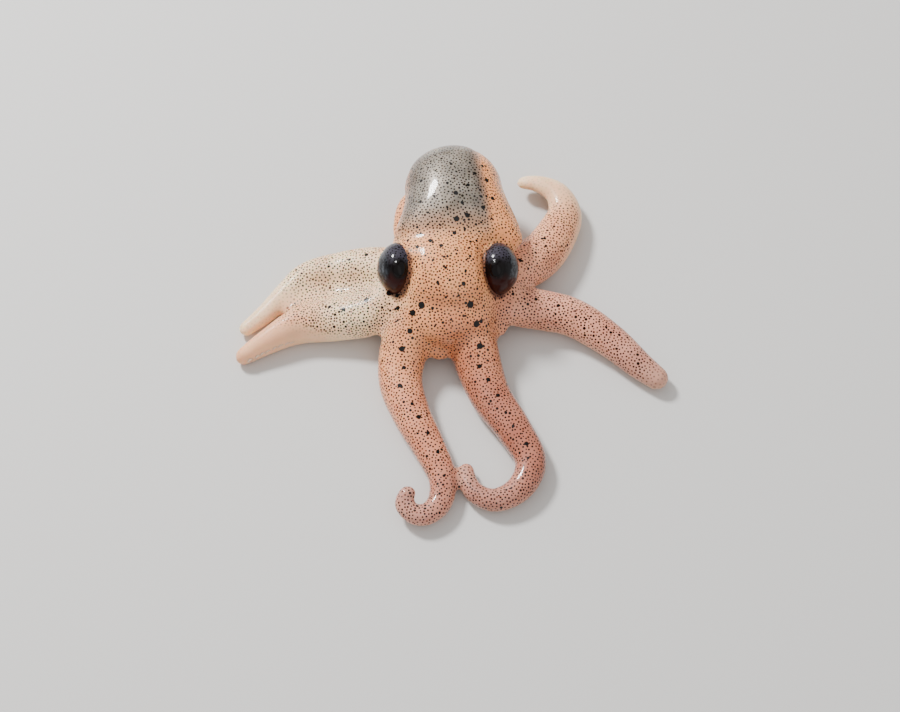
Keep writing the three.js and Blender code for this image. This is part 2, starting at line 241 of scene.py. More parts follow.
class SkinSettings(bpy.types.PropertyGroup):
    step: FloatProperty(
        name="Step", description="Edge of one face of the skin, mm", default=0.063, min=0.03)
    dot_gap: FloatProperty(
        name="Dot gap", description="Least distance between fine dots, mm", default=0.097, min=0.03)
    dot_radius: FloatProperty(
        name="Dot radius", description="Of a fine pigment dot, mm", default=0.0365, min=0.01)
    peach: colour("Peach", "Flesh of the head", (0.88, 0.38, 0.155))
    ember: colour("Ember", "Redder flesh round the roots of the front arms", (0.74, 0.28, 0.125))
    rose: colour("Rose", "Browner flesh of the front arm on the animal's left", (0.48, 0.18, 0.115))
    mauve: colour("Mauve", "Flesh of the tips of the front arms", (0.54, 0.27, 0.21))
    sand: colour("Sand", "Flesh of the second arm on the animal's left", (0.78, 0.36, 0.24))
    apricot: colour("Apricot", "Pale flesh of the third arm on the animal's left", (0.94, 0.44, 0.24))
    cream: colour("Cream", "Palest flesh, on the arms of the animal's right", (0.98, 0.72, 0.46))
    pink: colour("Pink", "Flesh of the front arm on the animal's right", (0.82, 0.33, 0.18))
    brick: colour("Brick", "Redder lower half of that arm", (0.61, 0.235, 0.14))
    silver: colour("Silver sac", "Grey sac seen through the mantle", (0.25, 0.215, 0.175))
    amber: colour("Amber wall", "Mantle wall beside the sac", (0.94, 0.37, 0.145))
    # Painted shade: a darker band just inside the silver sac's edge, where the sac curves away.
    sac_shade: colour("Sac shade", "Darker rim of the sac", (0.115, 0.075, 0.06))
    # Painted shade: the steep and lower sides of the mantle are painted browner.
    flank_shade_tone: colour("Flank shade", "Browner flank of the mantle", (0.34, 0.16, 0.085))
    pigment: colour("Pigment", "Brown-black of the dots", (0.008, 0.003, 0.0015))


class EyeSettings(bpy.types.PropertyGroup):
    dark: colour("Dark", "Nearly black lens and sides of the eye", (0.002, 0.0009, 0.001))
    veil: colour("Veil", "Purple-grey skin over the top of the eye", (0.044, 0.039, 0.054))
    iris: colour("Iris", "Blue-grey sheen of the iris", (0.055, 0.062, 0.072))
    maroon: colour("Maroon", "Lower front edge of the eye", (0.025, 0.004, 0.003))


class SuckerSettings(bpy.types.PropertyGroup):
    count: IntProperty(name="Suckers", description="On one arm, in two rows", default=38, min=4)
    radius: FloatProperty(
        name="Radius", description="Of the largest sucker, mm", default=0.2, min=0.02)
    flesh: colour("Flesh", "Pale flesh of the suckers", (0.86, 0.52, 0.37))


class StageSettings(bpy.types.PropertyGroup):
    floor: colour("Floor", "Plain pale floor", (0.60, 0.59, 0.575))
    lens: FloatProperty(name="Lens", description="Focal length, mm", default=85.0, min=10)
    tilt: FloatProperty(name="Tilt", description="How far the camera looks down, degrees", default=60.0)
    reach: FloatProperty(
        name="Distance", description="Camera to its aim, mm", default=78.7, min=1)


# ---- shaping ----

def deselect():
    if bpy.context.object and bpy.context.object.mode != "OBJECT":
        bpy.ops.object.mode_set(mode="OBJECT")
    bpy.ops.object.select_all(action="DESELECT")


def only(obj):
    deselect()
    obj.select_set(True)
    bpy.context.view_layer.objects.active = obj
    return obj


def apply_place(obj):
    only(obj)
    bpy.ops.object.transform_apply(location=True, rotation=True, scale=True)
    return obj


def face_outwards(obj):
    only(obj)
    bpy.ops.object.mode_set(mode="EDIT")
    bpy.ops.mesh.select_all(action="SELECT")
    bpy.ops.mesh.remove_doubles(threshold=1e-5)
    bpy.ops.mesh.normals_make_consistent(inside=False)
    bpy.ops.object.mode_set(mode="OBJECT")
    return obj


def join(objects, name):
    deselect()
    for obj in objects:
        obj.select_set(True)
    bpy.context.view_layer.objects.active = objects[0]
    bpy.ops.object.join()
    obj = bpy.context.object
    obj.name = name
    obj.data.name = name
    return obj


def modifier(obj, kind, **values):
    only(obj)
    bpy.ops.object.modifier_add(type=kind)
    made = obj.modifiers[-1]
    for key, value in values.items():
        setattr(made, key, value)
    bpy.ops.object.modifier_apply(modifier=made.name)
    return obj


def ball(centre, size, cuts=15):
    """A round form without poles: a cube, subdivided and blown up to a sphere."""
    deselect()
    bpy.ops.mesh.primitive_cube_add(size=2)
    obj = bpy.context.object
    bpy.ops.object.mode_set(mode="EDIT")
    bpy.ops.mesh.select_all(action="SELECT")
    bpy.ops.mesh.subdivide(number_cuts=cuts)
    bpy.ops.transform.tosphere(value=1)
    bpy.ops.object.mode_set(mode="OBJECT")
    points = coordinates(obj.data)
    points /= np.linalg.norm(points, axis=1)[:, None]
    set_coordinates(obj.data, points * np.array(size) + np.array(centre))
    return obj


def lathe(profile, steps, name):
    """A closed solid about Z from (radius, height) points that start and end on the axis."""
    deselect()
    bpy.ops.mesh.primitive_plane_add(size=0.01)
    obj = bpy.context.object
    obj.name = name
    bpy.ops.object.mode_set(mode="EDIT")
    bpy.ops.mesh.merge(type="CENTER")
    bpy.ops.transform.translate(value=(profile[0][0], 0, profile[0][1]))
    for (r0, z0), (r1, z1) in zip(profile, profile[1:]):
        bpy.ops.mesh.extrude_region_move(TRANSFORM_OT_translate={"value": (r1 - r0, 0, z1 - z0)})
    bpy.ops.mesh.select_all(action="SELECT")
    bpy.ops.mesh.spin(steps=steps, angle=2 * math.pi, center=(0, 0, 0), axis=(0, 0, 1))
    bpy.ops.object.mode_set(mode="OBJECT")
    return face_outwards(obj)


def coordinates(mesh):
    flat = np.empty(len(mesh.vertices) * 3, np.float32)
    mesh.vertices.foreach_get("co", flat)
    return flat.reshape(-1, 3).astype(float)


def set_coordinates(mesh, points):
    mesh.vertices.foreach_set("co", np.asarray(points, np.float32).ravel())
    mesh.update()


def normals(mesh):
    flat = np.empty(len(mesh.vertices) * 3, np.float32)
    mesh.vertices.foreach_get("normal", flat)
    return flat.reshape(-1, 3).astype(float)


def smoothstep(x, low=0.0, high=1.0):
    t = np.clip((np.asarray(x, float) - low) / (high - low), 0, 1)
    return t * t * (3 - 2 * t)


def finish_piece(obj, slot, *nodes):
    """Brings a piece from the working millimetres to the frame's metres, at the origin."""
    only(obj)
    bpy.ops.object.shade_smooth()
    obj.scale = (MM, MM, MM)
    obj.location = ORIGIN
    apply_place(obj)
    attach(obj, "root")
    if nodes:
        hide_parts(*nodes)
    return obj


# ---- arms ----

def route_points(route, samples):
    """Evenly spaced points on a smooth curve through the route, and the curve's length."""
    knots = [np.array((x, y, *(lift or [0.0]))) for x, y, *lift in route]
    knots = [2 * knots[0] - knots[1], *knots, 2 * knots[-1] - knots[-2]]
    dense = []
    for a, b, c, d in zip(knots, knots[1:], knots[2:], knots[3:]):
        ka, kb, kc = (np.linalg.norm(v) ** 0.5 for v in (b - a, c - b, d - c))
        start = kb * ((b - a) / ka - (c - a) / (ka + kb) + (c - b) / kb)
        end = kb * ((c - b) / kb - (d - b) / (kb + kc) + (d - c) / kc)
        for t in np.linspace(0, 1, 40, endpoint=False):
            dense.append(
                (2 * t**3 - 3 * t**2 + 1) * b + (t**3 - 2 * t**2 + t) * start
                + (3 * t**2 - 2 * t**3) * c + (t**3 - t**2) * end)
    dense = np.array([*dense, knots[-2]])
    steps = np.concatenate([[0], np.cumsum(np.linalg.norm(np.diff(dense, axis=0), axis=1))])
    at = np.linspace(0, steps[-1], samples)
    return np.stack([np.interp(at, steps, dense[:, k]) for k in range(3)], 1), steps[-1]


class Arm:
    """The middle line of an arm, its half width and its axes, at even steps from root to tip."""

    def __init__(self, route, root, tip, taper, roll):
        self.middle, self.length = route_points(route, ARM_SAMPLES)
        self.along = np.linspace(0, 1, ARM_SAMPLES)
        full = root + (tip - root) * self.along**taper
        rounding = 1 - tip / self.length
        beyond = np.clip((self.along - rounding) / (1 - rounding), 0, 1)
        self.width = full * np.sqrt(TIP_BLUNTNESS - beyond**2)
        near_root = 1 - smoothstep(self.along * self.length / ROOT_LENGTH)
        self.middle[:, 2] += SUCKER_HEIGHT + full * ARM_FLATNESS * ORAL_FLATNESS
        self.middle[:, 2] += ROOT_LIFT * near_root
        self.forward = np.gradient(self.middle, axis=0)
        self.forward /= np.linalg.norm(self.forward, axis=1)[:, None]
        up = np.array((0.0, 0.0, 1.0)) - self.forward * self.forward[:, 2:]
        up /= np.linalg.norm(up, axis=1)[:, None]
        aside = np.cross(self.forward, up)
        self.roll = math.radians(roll) * smoothstep(self.along, ROLL_FROM, ROLL_TO)
        cos, sin = np.cos(self.roll)[:, None], np.sin(self.roll)[:, None]
        self.up = cos * up + sin * aside
        self.aside = cos * aside - sin * up

    def at(self, along):
        return int(round(min(max(along, 0), 1) * (ARM_SAMPLES - 1)))


ARM_SHAPES = {name: Arm(**shape) for name, shape in ARMS.items()}


def arm_section():
    """The outline of an arm across its length: a round back over a flatter underside."""
    deselect()
    bpy.ops.curve.primitive_bezier_circle_add(radius=1)
    section = bpy.context.object
    section.name = "arm_section"
    section.data.splines.clear()
    spline = section.data.splines.new("POLY")
    sides = 28
    spline.points.add(sides - 1)
    for point, angle in zip(spline.points, np.linspace(0, 2 * math.pi, sides, endpoint=False)):
        rise = math.sin(angle)
        if rise < 0:
            rise = -ORAL_FLATNESS * (-rise) ** ORAL_SQUARE
        point.co = (math.cos(angle), rise * ARM_FLATNESS, 0, 1)
    spline.use_cyclic_u = True
    return section


def arm_form(name, arm, section):
    """The section drawn along the arm's middle line, turned and narrowed on the way."""
    deselect()
    bpy.ops.curve.primitive_nurbs_path_add()
    path = bpy.context.object
    path.name = "arm_" + name
    path.data.splines.clear()
    spline = path.data.splines.new("POLY")
    spline.points.add(ARM_SAMPLES - 1)
    for point, place, width, roll in zip(spline.points, arm.middle, arm.width, arm.roll):
        point.co = (*place, 1)
        point.radius = width
        point.tilt = -roll
    path.data.twist_mode = "Z_UP"
    path.data.bevel_mode = "OBJECT"
    path.data.bevel_object = section
    path.data.use_fill_caps = True
    only(path)
    bpy.ops.object.convert(target="MESH")
    return face_outwards(bpy.context.object)


# ---- mantle, funnel, web and eye sockets ----

def mantle_form():
    """A bag that is lathed round, then given its width in plan and its height along the back."""
    profile = [(0.0, -0.5), (0.9, -0.5)]
    profile += [(1.0, height) for height in np.linspace(-0.2, MANTLE_LENGTH - MANTLE_CAP, 13)[:-1]]
    for angle in np.linspace(0, math.pi / 2, 18):
        profile.append((math.cos(angle), MANTLE_LENGTH - MANTLE_CAP * (1 - math.sin(angle))))
    profile[-1] = (0.0, MANTLE_LENGTH)
    obj = lathe(profile, 72, "mantle_form")
    across, up, along = coordinates(obj.data).T
    round_tip = np.sqrt(np.clip(1 - np.clip((along - MANTLE_LENGTH) / MANTLE_CAP + 1, 0, 1) ** 2, 1e-9, 1))
    near_neck = 1 - smoothstep(along / (MANTLE_LENGTH - MANTLE_CAP))
    flare = np.where(across > 0, MANTLE_FLARE_LEFT, MANTLE_FLARE_RIGHT)
    across = across * (MANTLE_RADIUS + near_neck * flare)
    behind = np.clip((along - MANTLE_PEAK) / (MANTLE_LENGTH - MANTLE_PEAK), 0, 1)
    before = np.clip((MANTLE_PEAK - along) / MANTLE_PEAK, 0, 1)
    back = np.sqrt(np.clip(1 - behind**2, 0, 1)) * (1 - MANTLE_NECK_DROP * before**2)
    up = up / round_tip * back * np.where(up < 0, MANTLE_UNDER, MANTLE_OVER)
    turn = Matrix.Rotation(math.radians(MANTLE_TURN), 3, "Z")
    turn @= Matrix.Rotation(math.radians(MANTLE_TILT), 3, "X")
    points = np.stack([across, along, up], 1) @ np.array(turn).T + np.array(MANTLE_NECK)
    set_coordinates(obj.data, points)
    return face_outwards(obj)


def funnel_form():
    axis = FUNNEL_END - FUNNEL_START
    length = axis.length
    profile = [(0, 0), (0.5, 0), (0.3, length - 0.1), (0.26, length), (0.18, length),
               (0.16, length - 0.12), (0.14, length - 0.5), (0, length - 0.5)]
    obj = lathe(profile, 24, "funnel_form")
    obj.rotation_euler = axis.to_track_quat("Z", "Y").to_euler()
    obj.location = FUNNEL_START
    return apply_place(obj)


def web_forms():
    """A flat cushion between each arm and the next, but not beside the funnel."""
    names = list(ARM_SHAPES)
    made = []
    for name, after in zip(names, names[1:] + names[:1]):
        if name == "left_4":
            continue
        first, second = ARM_SHAPES[name], ARM_SHAPES[after]
        for reach in WEB_REACHES.get(name, USUAL_WEB_REACH):
            near = first.middle[first.at(reach / first.length)]
            far = second.middle[second.at(reach / second.length)]
            middle = (near + far) / 2
            middle[2] = min(WEB_HEIGHT, middle[2] - WEB_DROP)
            made.append(ball(middle, WEB_SIZE))
    return made


def eye_centre(side):
    return np.array(EYE_MIDDLE) + np.array((side * EYE_OUT, 0, 0))


def eye_axis(side):
    tilt = math.radians(EYE_TILT_LEFT if side > 0 else EYE_TILT_RIGHT)
    return np.array((side * math.cos(tilt), -0.28, math.sin(tilt)))


def socket_form(side):
    """Flesh that hugs the inner side of the eye, from which the lid is shaped."""
    return ball(eye_centre(side) - eye_axis(side) * 0.28, np.array(EYE_SIZE) + 0.11)


def round_eye(points, side):
    """Directions and relative distances from the eye's centre, where 1 is the eye's surface."""
    offset = (points - eye_centre(side)) / np.array(EYE_SIZE)
    distance = np.linalg.norm(offset, axis=1)
    direction = offset / distance[:, None]
    axis = eye_axis(side)
    angle = np.degrees(np.arccos(np.clip(direction @ (axis / np.linalg.norm(axis)), -1, 1)))
    return direction, distance, angle


def open_lids(points):
    """Lets the eyes look out: skin in front of an eye sinks below it and skin round it hugs it."""
    for side in (1, -1):
        direction, distance, angle = round_eye(points, side)
        opening = LID_OPENING_LEFT if side > 0 else LID_OPENING_RIGHT
        start, end = opening + LID_EDGE[0], opening + LID_EDGE[1]
        shut = smoothstep(angle, start, end)
        low = SUNK_SKIN + (1 + LID_THICKNESS - SUNK_SKIN) * shut
        high = low + SOCKET_RISE * smoothstep(angle, end, opening + SOCKET_WIDTH) ** 1.3
        pull = 1 - smoothstep(distance, *SOCKET_PULL)
        new = np.maximum(distance, low * shut)
        new = np.where(new > high, new + (high - new) * pull, new)
        near = distance < SOCKET_REACH
        points[near] = (eye_centre(side) + direction * np.array(EYE_SIZE) * new[:, None])[near]


# ---- masks and pigment ----

def edge_ends(mesh):
    ends = np.empty(len(mesh.edges) * 2, np.int32)
    mesh.edges.foreach_get("vertices", ends)
    return ends.reshape(-1, 2)


def neighbour_mean(values, ends):
    count = np.bincount(ends.ravel(), minlength=len(values))
    columns = values.reshape(len(values), -1)
    total = np.stack([
        np.bincount(ends[:, 0], columns[ends[:, 1], k], len(values))
        + np.bincount(ends[:, 1], columns[ends[:, 0], k], len(values))
        for k in range(columns.shape[1])], 1)
    return (total / np.maximum(count, 1)[:, None]).reshape(values.shape)


def smooth_creases(obj, spread, passes):
    """Rounds off the inner corners where forms meet, and leaves the rest as it is."""
    points, ends = coordinates(obj.data), edge_ends(obj.data)
    inward = np.einsum("ij,ij->i", neighbour_mean(points, ends) - points, normals(obj.data))
    crease = (inward > CREASE_DEPTH).astype(float)
    for _ in range(spread):
        crease = np.maximum(crease, neighbour_mean(crease, ends) * 1.02)
    for _ in range(spread):
        crease = neighbour_mean(crease, ends)
    levels = np.round(np.clip(crease, 0, 1) * 12) / 12
    group = obj.vertex_groups.new(name="creases")
    for level in np.unique(levels):
        if level > 0:
            group.add(np.nonzero(levels == level)[0].tolist(), float(level), "REPLACE")
    modifier(obj, "SMOOTH", factor=0.5, iterations=passes, vertex_group="creases")
    obj.vertex_groups.clear()


def paint(mesh, name, values, domain="POINT"):
    values = np.asarray(values, np.float32)
    vector = values.ndim == 2
    layer = mesh.attributes.new(name, "FLOAT_VECTOR" if vector else "FLOAT", domain)
    layer.data.foreach_set("vector" if vector else "value", values.ravel())


def nearest(points, places):
    tree = KDTree(len(places))
    for i, place in enumerate(places):
        tree.insert(place, i)
    tree.balance()
    return np.array([tree.find(point)[1] for point in points])


def even_places(mesh, gap, seed):
    """Places scattered over a mesh, no two nearer than the gap, then evened out."""
    points = coordinates(mesh)
    mesh.calc_loop_triangles()
    corners = np.empty(len(mesh.loop_triangles) * 3, np.int32)
    mesh.loop_triangles.foreach_get("vertices", corners)
    corners = corners.reshape(-1, 3)
    a, b, c = (points[corners[:, k]] for k in range(3))
    demand = np.linalg.norm(np.cross(b - a, c - a), axis=1) / gap[corners[:, 0]] ** 2
    draw = np.random.default_rng(seed)
    count = int(TRIES_FOR_A_PLACE * demand.sum())
    picked = draw.choice(len(demand), count, p=demand / demand.sum())
    u, v = draw.random((2, count))
    u, v = np.where(u + v > 1, 1 - u, u), np.where(u + v > 1, 1 - v, v)
    places = a[picked] + (b - a)[picked] * u[:, None] + (c - a)[picked] * v[:, None]
    gaps = gap[corners[picked, 0]]
    tree = KDTree(count)
    for i, place in enumerate(places):
        tree.insert(place, i)
    tree.balance()
    free = np.ones(count, bool)
    kept = []
    for i in range(count):
        if free[i]:
            kept.append(i)
            free[[j for _, j, _ in tree.find_range(places[i], gaps[i])]] = False
    cells = places[kept]
    owner = nearest(places, cells)
    share = np.maximum(np.bincount(owner, minlength=len(cells)), 1)
    cells = np.stack([np.bincount(owner, places[:, k], len(cells)) for k in range(3)], 1) / share[:, None]
    snap = np.array([tree.find(cell)[1] for cell in cells])
    return places[snap], gaps[snap]


def add_pigment(mesh, gap, radius, seed):
    """Gives every face of a four-sided mesh the pigment cell that reaches furthest into it."""
    points = coordinates(mesh)
    cells, gaps = even_places(mesh, gap, seed)
    draw = np.random.default_rng(seed + 1)
    size = radius * draw.uniform(*DOT_SIZES, len(cells))
    size *= np.where(draw.random(len(cells)) < BIG_DOT_SHARE, BIG_DOT_SIZE, 1)
    faces = np.empty(len(mesh.loops), np.int32)
    mesh.loops.foreach_get("vertex_index", faces)
    faces = faces.reshape(-1, 4)
    corners = points[faces]
    middle = corners.mean(1)
    probes = np.concatenate([corners, middle[:, None], (corners + np.roll(corners, 1, 1)) / 2], 1)
    cell_at = nearest(points, cells)
    choices = np.concatenate([cell_at[faces], nearest(middle, cells)[:, None]], 1)
    chosen, closest = choices[:, 0].copy(), np.full(len(faces), np.inf)
    for k in range(choices.shape[1]):
        cell = choices[:, k]
        reach = np.linalg.norm(probes - cells[cell][:, None], axis=2).min(1) - size[cell]
        better = reach < closest
        chosen[better], closest[better] = cell[better], reach[better]
    paint(mesh, "cell", cells[chosen], "FACE")
    paint(mesh, "cell_size", size[chosen], "FACE")
    return len(cells)


def large_spots(mesh, points):
    """The spots that stand out, as (place, radius)."""
    tree = BVHTree.FromPolygons(
        [tuple(p) for p in points], [tuple(f.vertices) for f in mesh.polygons])
    draw = np.random.default_rng(11)
    spots = []

    def drop(x, y, radius):
        hit = tree.ray_cast(Vector((x, y, 9.0)), Vector((0, 0, -1)))[0]
        if hit is not None:
            spots.append((np.array(hit), radius))

    out, back, radius = BROW_SPOT
    chosen = [(out, back, radius), (-out, back, radius), BACK_SPOT]
    for spot in chosen:
        drop(*spot)
    taken = [np.array(spot[:2]) for spot in chosen]
    least, most = LESSER_SPOT_RADII
    for _ in range(LESSER_SPOT_TRIES):
        place = np.array((draw.uniform(-1.9, 1.9), draw.uniform(-2.6, 3.9)))
        if min(np.linalg.norm(place - other) for other in taken) > LESSER_SPOT_GAP:
            taken.append(place)
            drop(*place, least + (most - least) * draw.random() ** 2.5)
    for name, (start, end, radius) in SPOT_ROWS.items():
        arm = ARM_SHAPES[name]
        along = start
        while along < end:
            i = arm.at(along)
            place = arm.middle[i] + arm.aside[i] * arm.width[i] * draw.uniform(-0.2, 0.25)
            drop(place[0], place[1], radius * draw.uniform(0.8, 1.2) * (1.25 - 0.9 * along))
            along += draw.uniform(0.55, 0.95) / arm.length
    return spots


def add_spots(mesh, points):
    """Gives every face the large spot that it lies nearest to."""
    faces = np.empty(len(mesh.loops), np.int32)
    mesh.loops.foreach_get("vertex_index", faces)
    middle = points[faces.reshape(-1, 4)].mean(1)
    nearest_spot, size = np.zeros_like(middle), np.zeros(len(middle))
    least = np.full(len(middle), np.inf)
    for place, radius in large_spots(mesh, points):
        distance = np.linalg.norm(middle - place, axis=1) - radius
        closer = distance < least
        least[closer], nearest_spot[closer], size[closer] = distance[closer], place, radius
    paint(mesh, "spot", nearest_spot, "FACE")
    paint(mesh, "spot_size", size, "FACE")


def sac_edge(points):
    """How far inside the silver sac a point of the mantle lies, seen from above."""
    x, y, _ = points.T
    back = np.clip((y - 2.9) / 2.25, 0, 1)
    half = 1.52 * np.sqrt(np.clip(1 - back**2.4, 0, 1)) + 0.5 * smoothstep(2.9 - y, 0, 2.6)
    slanted = SAC_SIDE - SAC_SLANT * y
    return np.minimum(half - np.abs(x - 0.02), slanted - x)


class Masks:
    """For each point of the skin, where it lies on the arms and on the body."""

    def __init__(self, mesh):
        self.points, self.outward = coordinates(mesh), normals(mesh)
        middles = np.concatenate([arm.middle for arm in ARM_SHAPES.values()])
        ups = np.concatenate([arm.up for arm in ARM_SHAPES.values()])
        widths = np.concatenate([arm.width for arm in ARM_SHAPES.values()])
        index = nearest(self.points, middles)
        distance = np.linalg.norm(self.points - middles[index], axis=1)
        names = np.repeat(np.array(list(ARM_SHAPES)), ARM_SAMPLES)
        self.name = names[index]
        self.along = np.tile(np.linspace(0, 1, ARM_SAMPLES), len(ARM_SHAPES))[index]
        self.on_arm = 1 - smoothstep(distance / np.maximum(widths[index], 0.2), 1.15, 1.6)
        self.facing = np.einsum("ij,ij->i", self.outward, ups[index])

    def arm(self, name, low, high):
        return (self.name == name) * self.on_arm * smoothstep(self.along, low, high)


def paint_flesh(mesh, masks, settings):
    """The flesh tone at each point, blended along the arms and where they join the body."""
    peach, ember = np.array(settings.peach), np.array(settings.ember)
    y = masks.points[:, 1]
    redder = 0.75 * smoothstep(-y, 0.6, 2.6)[:, None]
    flesh = peach + (ember - peach) * redder
    for name, tones in ARM_TONES.items():
        stops = np.linspace(0.05, 0.95, len(tones))
        tones = np.array([getattr(settings, tone) for tone in tones])
        here = np.stack([np.interp(masks.along, stops, tones[:, k]) for k in range(3)], 1)
        share = masks.arm(name, -0.1, 0.1)[:, None]
        flesh = flesh + (here - flesh) * share
    ends = edge_ends(mesh)
    for _ in range(160):
        flesh = neighbour_mean(flesh, ends)
    paint(mesh, "flesh", flesh)


def mask_skin(mesh, settings):
    masks = Masks(mesh)
    points, outward = masks.points, masks.outward
    x, y, z = points.T
    on_arm, along, facing = masks.on_arm, masks.along, masks.facing
    under_body = smoothstep(-outward[:, 2], 0.1, 0.75)
    under_arm = smoothstep(-facing, -0.15, 0.45)
    under = under_body * (1 - on_arm) + under_arm * on_arm
    paint(mesh, "under", under)
    paint_flesh(mesh, masks, settings)
    # The clear mask is partly real and partly painted light: paler towards the arm tips and on the
    # undersides, where the flesh is clearer, and paler along the arms' sides as a painted glow of light
    # through their thin edges.
    edge = on_arm * (1 - smoothstep(facing, 0.0, 0.55)) * smoothstep(along, 0.15, 0.4)
    edge = edge * np.where(np.isin(masks.name, (*FRONT_ARMS, "left_2")), 0.25, 1.0)
    clear = np.zeros(len(points))
    for name in ARM_SHAPES:
        clear = np.maximum(clear, masks.arm(name, *LATE_CLEARING.get(name, USUAL_CLEARING)))
    paint(mesh, "clear", np.clip(clear * 0.5 + edge * 0.6 + under * 0.4, 0, 1))
    inside = sac_edge(points)
    mantle = smoothstep(y, 0.2, 1.2) * (1 - on_arm)
    back = mantle * smoothstep(z, 1.6, 2.2)
    sac = smoothstep(inside, -0.25, 0.25) * smoothstep(y, -0.2, 2.1) * back
    paint(mesh, "sac", sac)
    # Painted shade: the sac is darkened just inside its edge, more towards the back of the mantle.
    paint(mesh, "painted_sac_shade", 0.6 * sac * (1 - smoothstep(inside, 0.1, 0.55)) * smoothstep(y, 1.0, 2.4))
    paint(mesh, "wall", 0.8 * smoothstep(-inside, -0.2, 0.15) * back)
    # Painted shade: towards the back, the mantle's steep and downward-facing sides are painted browner,
    # standing in for the darker outline seen at a low angle.
    flank_shade = mantle * smoothstep(y, 0.8, 2.2) * (1 - smoothstep(outward[:, 2], 0.05, 0.45))
    paint(mesh, "flank_shade", 0.65 * flank_shade)
    on_front, on_pale = (np.isin(masks.name, names) for names in (FRONT_ARMS, PALE_ARMS))
    dry = 0.65 * on_arm * smoothstep(along, 0.0, 0.2) * ~on_front
    dry = np.maximum(dry, 0.85 * on_arm * smoothstep(along, -0.1, 0.08) * on_pale)
    dry = np.maximum(dry, 0.8 * flank_shade)
    gaze = np.full(len(points), 2.0)
    ring = np.zeros(len(points))
    for side in (1, -1):
        direction, distance, angle = round_eye(points, side)
        inner = smoothstep(direction @ np.array((-side * 0.75, -0.65, 0.1)), -0.25, 0.55)
        near = np.where(angle < 140, distance, 2.0)
        gaze = np.minimum(gaze, near + 0.5 * smoothstep(angle, 90, 150) + 0.25 * (1 - inner))
        ring = np.maximum(ring, (1 - smoothstep(near, 1.08, 1.3)) * (1 - inner))
        dry = np.maximum(dry, 0.93 * (1 - smoothstep(near, 1.45, 1.85)))
    paint(mesh, "gaze", gaze)
    paint(mesh, "wet", 1 - dry)
    add_spots(mesh, points)
    cover = 1 - 0.9 * smoothstep(under, 0.05, 0.9)
    cover *= 1 - 0.85 * smoothstep(clear, 0.15, 1.0)
    cover *= 1 - 0.8 * smoothstep(edge, 0.2, 0.9)
    paint(mesh, "cover", cover)
    cover *= 1 - ring
    gap = settings.dot_gap * (1 + 0.25 * clear + 0.5 * under - 0.1 * (masks.name == "right_2") * on_arm)
    return add_pigment(mesh, gap, settings.dot_radius, 5)


# ---- materials ----

class Nodes:
    """Short ways to add and join shader nodes."""

    def __init__(self, tree):
        self.tree = tree
        tree.nodes.clear()

    def add(self, kind, inputs=None, **values):
        node = self.tree.nodes.new("ShaderNode" + kind)
        for key, value in values.items():
            setattr(node, key, value)
        for key, value in (inputs or {}).items():
            socket = node.inputs[key]
            if isinstance(value, bpy.types.NodeSocket):
                self.tree.links.new(value, socket)
            elif socket.type == "RGBA":
                socket.default_value = (*value[:3], 1)
            else:
                socket.default_value = value
        return node

    def math(self, operation, a, b=0.0, c=0.0):
        return self.add("Math", {0: a, 1: b, 2: c}, operation=operation).outputs[0]

    def vector(self, operation, a, b=None):
        inputs = {0: a} if b is None else {0: a, 1: b}
        node = self.add("VectorMath", inputs, operation=operation)
        return node.outputs["Value" if operation in ("LENGTH", "DISTANCE", "DOT_PRODUCT") else "Vector"]

    def ramp(self, value, low, high, start=0.0, end=1.0):
        node = self.add(
            "MapRange", {"Value": value, "From Min": low, "From Max": high, "To Min": start, "To Max": end},
            interpolation_type="SMOOTHSTEP")
        return node.outputs["Result"]

    def mix(self, factor, a, b, blend_type="MIX"):
        return self.add("Mix", {0: factor, 6: a, 7: b}, data_type="RGBA", blend_type=blend_type).outputs[2]

    def noise(self, vector, scale, detail=2.0):
        return self.add("TexNoise", {"Vector": vector, "Scale": scale, "Detail": detail}).outputs["Fac"]

    def attribute(self, name, kind="Fac"):
        return self.add("Attribute", attribute_name=name).outputs[kind]

    def place(self):
        """Object coordinates in the working millimetres."""
        coords = self.add("TexCoord").outputs["Object"]
        scaled = self.add("VectorMath", {0: coords, "Scale": 1 / MM}, operation="SCALE").outputs["Vector"]
        return self.vector("SUBTRACT", scaled, tuple(ORIGIN / MM))

    def shader(self, **inputs):
        shader = self.add("BsdfPrincipled", {key.replace("_", " "): value for key, value in inputs.items()})
        out = self.add("OutputMaterial")
        self.tree.links.new(shader.outputs["BSDF"], out.inputs["Surface"])
        return shader


def new_material(name):
    material = bpy.data.materials.new(name)
    material.use_nodes = True
    return material, Nodes(material.node_tree)


def pigment_group():
    """Round pigment dots with slightly ragged edges, one for each cell painted on the faces."""
    name = "pigment_dots"
    if name in bpy.data.node_groups:
        return bpy.data.node_groups[name]
    group = bpy.data.node_groups.new(name, "ShaderNodeTree")
    group.interface.new_socket("Place", in_out="INPUT", socket_type="NodeSocketVector")
    group.interface.new_socket("Mask", in_out="OUTPUT", socket_type="NodeSocketFloat")
    n = Nodes(group)
    given = group.nodes.new("NodeGroupInput").outputs["Place"]
    made = group.nodes.new("NodeGroupOutput")
    distance = n.vector("DISTANCE", given, n.attribute("cell", "Vector"))
    ragged = n.math("MULTIPLY_ADD", n.noise(given, 45.0, 1.0), 0.016, distance)
    ratio = n.math("DIVIDE", n.math("SUBTRACT", ragged, 0.008), n.attribute("cell_size"))
    group.links.new(n.ramp(ratio, 0.84, 1.08, 1.0, 0.0), made.inputs["Mask"])
    return group


def dots(n, place):
    node = n.add("Group", node_tree=pigment_group())
    n.tree.links.new(place, node.inputs["Place"])
    return node.outputs["Mask"]


def tone(colour, factor):
    return tuple(min(1.0, channel * factor) for channel in colour)


